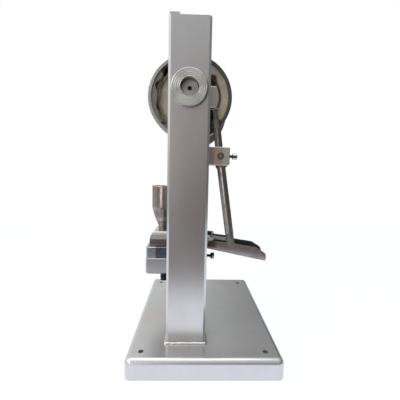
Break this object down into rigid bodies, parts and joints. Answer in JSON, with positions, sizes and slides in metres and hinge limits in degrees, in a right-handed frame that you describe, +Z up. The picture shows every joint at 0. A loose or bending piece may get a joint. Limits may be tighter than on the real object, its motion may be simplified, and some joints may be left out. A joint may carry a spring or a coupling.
{
  "type": "tablet press",
  "caption": "Hand-cranked single-punch tablet press with cam-driven feed shoe, lift-off hopper, split-strap eccentric ram drive and sprung lower punch.",
  "frame": {"origin": "centre of the base's four bolt holes, on its underside", "axes": "+Z up; +X along the main shaft, towards the feed cam and lever; -Y is the operator's side with the hopper, +Y the side the chute delivers to"},
  "size_m": [0.428, 0.2657, 0.595],
  "materials": {
    "silver_paint": "silver hammer paint, satin",
    "machine_paint": "silver grey paint over casting",
    "ground_steel": "ground and turned steel",
    "cam_steel": "dark oiled steel with grease",
    "polished_steel": "polished round bar",
    "tool_steel": "hardened and polished",
    "stainless_sheet": "spun and folded stainless sheet",
    "black_oxide": "blackened fasteners",
    "zinc_plate": "zinc plated fasteners",
    "bronze": "bearing bronze",
    "gear_steel": "oiled steel",
    "spring_steel": "dark spring wire",
    "grip_plastic": "black moulded plastic"
  },
  "bodies": {
    "frame": {"base_plate": "silver_paint", "right_column": "silver_paint", "left_column": "silver_paint", "top_tie_bar": "silver_paint", "cap_screws": "black_oxide", "right_bearing": "ground_steel", "left_bearing": "ground_steel", "guide_beam": "machine_paint", "ram_guide_bush": "bronze", "die_table": "machine_paint", "die_plate": "ground_steel", "die": "tool_steel", "die_lock_screw": "black_oxide", "die_plate_bolts": "black_oxide", "pivot_bracket": "ground_steel", "pivot_pin": "black_oxide", "chute": "stainless_sheet"},
    "shaft": {"main_shaft": "polished_steel", "shaft_collars": "ground_steel", "feed_cam_wheel": "cam_steel", "eccentric_sheave": "ground_steel", "ejection_cam": "cam_steel", "crank_arm": "ground_steel", "crank_nut": "zinc_plate", "handle_spindle": "polished_steel"},
    "grip": {"handle_grip": "grip_plastic"},
    "con_rod": {"connecting_rod": "ground_steel", "strap_cap": "ground_steel", "strap_bolts": "black_oxide", "wrist_pin": "polished_steel"},
    "ram": {"crosshead": "ground_steel", "upper_ram": "polished_steel", "punch_lock_nut": "tool_steel", "upper_punch": "tool_steel"},
    "lever": {"lever_hub": "ground_steel", "upper_lever_rod": "polished_steel", "lever_lock_nut": "zinc_plate", "lower_lever_bar": "polished_steel", "follower_head": "ground_steel", "follower_pin": "polished_steel"},
    "follower": {"follower_roller": "tool_steel"},
    "shoe": {"feed_shoe": "ground_steel", "shoe_wear_plate": "tool_steel", "drag_arm": "ground_steel", "push_rod": "polished_steel", "push_rod_nuts": "zinc_plate", "slot_pin": "polished_steel"},
    "hopper": {"hopper": "stainless_sheet"},
    "lift": {"lift_rod": "polished_steel", "lift_fork": "ground_steel", "lift_collar": "ground_steel", "lift_spring": "spring_steel", "lift_yoke": "ground_steel", "lower_ram": "polished_steel", "lower_punch": "tool_steel"},
    "lift_wheel": {"lift_roller": "tool_steel"},
    "fill_adjuster": {"fill_gear": "gear_steel"},
    "eject_adjuster": {"eject_gear": "gear_steel"},
    "bracket_knob": {"bracket_thumbscrew": "zinc_plate"},
    "chute_knob": {"chute_thumbscrew": "black_oxide"}
  },
  "joints": [
    {"name": "main_shaft_turn", "type": "hinge", "parent": "frame", "child": "shaft", "pos_m": [0, -0.0312, 0.475], "axis": [1, 0, 0], "continuous": true},
    {"name": "con_rod_turn", "type": "hinge", "parent": "shaft", "child": "con_rod", "pos_m": [0, -0.0312, 0.484], "axis": [1, 0, 0], "continuous": true},
    {"name": "grip_spin", "type": "hinge", "parent": "shaft", "child": "grip", "pos_m": [-0.2055, -0.0312, 0.305], "axis": [1, 0, 0], "continuous": true},
    {"name": "ram_slide", "type": "slide", "parent": "frame", "child": "ram", "axis": [0, 0, 1], "range_m": [-0.018, 0]},
    {"name": "lever_swing", "type": "hinge", "parent": "frame", "child": "lever", "pos_m": [0.08, 0.0252, 0.3684], "axis": [1, 0, 0], "range_deg": [-3.6, 5.4]},
    {"name": "follower_spin", "type": "hinge", "parent": "lever", "child": "follower", "pos_m": [0.065, 0.01, 0.475], "axis": [1, 0, 0], "continuous": true},
    {"name": "shoe_slide", "type": "slide", "parent": "frame", "child": "shoe", "axis": [0, 1, 0], "range_m": [-0.01, 0.015]},
    {"name": "hopper_lift", "type": "slide", "parent": "shoe", "child": "hopper", "axis": [0, 0, -1], "range_m": [-0.03, 0]},
    {"name": "lift_slide", "type": "slide", "parent": "frame", "child": "lift", "axis": [0, 0, 1], "range_m": [-0.008, 0.004], "stiffness_N_per_m": 2500, "springref_m": 0.005, "deforming": ["lift_spring"]},
    {"name": "lift_wheel_spin", "type": "hinge", "parent": "lift", "child": "lift_wheel", "pos_m": [-0.075, -0.0312, 0.3785], "axis": [1, 0, 0], "continuous": true},
    {"name": "fill_adjuster_turn", "type": "hinge", "parent": "lift", "child": "fill_adjuster", "pos_m": [0, -0.0312, 0.107], "axis": [0, 0, 1], "continuous": true},
    {"name": "eject_adjuster_turn", "type": "hinge", "parent": "lift", "child": "eject_adjuster", "pos_m": [0, -0.0312, 0.121], "axis": [0, 0, 1], "continuous": true},
    {"name": "bracket_knob_turn", "type": "hinge", "parent": "frame", "child": "bracket_knob", "pos_m": [0.092, 0.0476, 0.3684], "axis": [0, 1, 0], "continuous": true},
    {"name": "chute_knob_turn", "type": "hinge", "parent": "frame", "child": "chute_knob", "pos_m": [0, 0.02, 0.1584], "axis": [0, 1, 0], "continuous": true}
  ],
  "couplings": [
    {"joint": "con_rod_turn", "follows": "main_shaft_turn", "ratio": -1},
    {"joint": "shoe_slide", "follows": "lever_swing", "m_per_rad": 0.158}
  ]
}
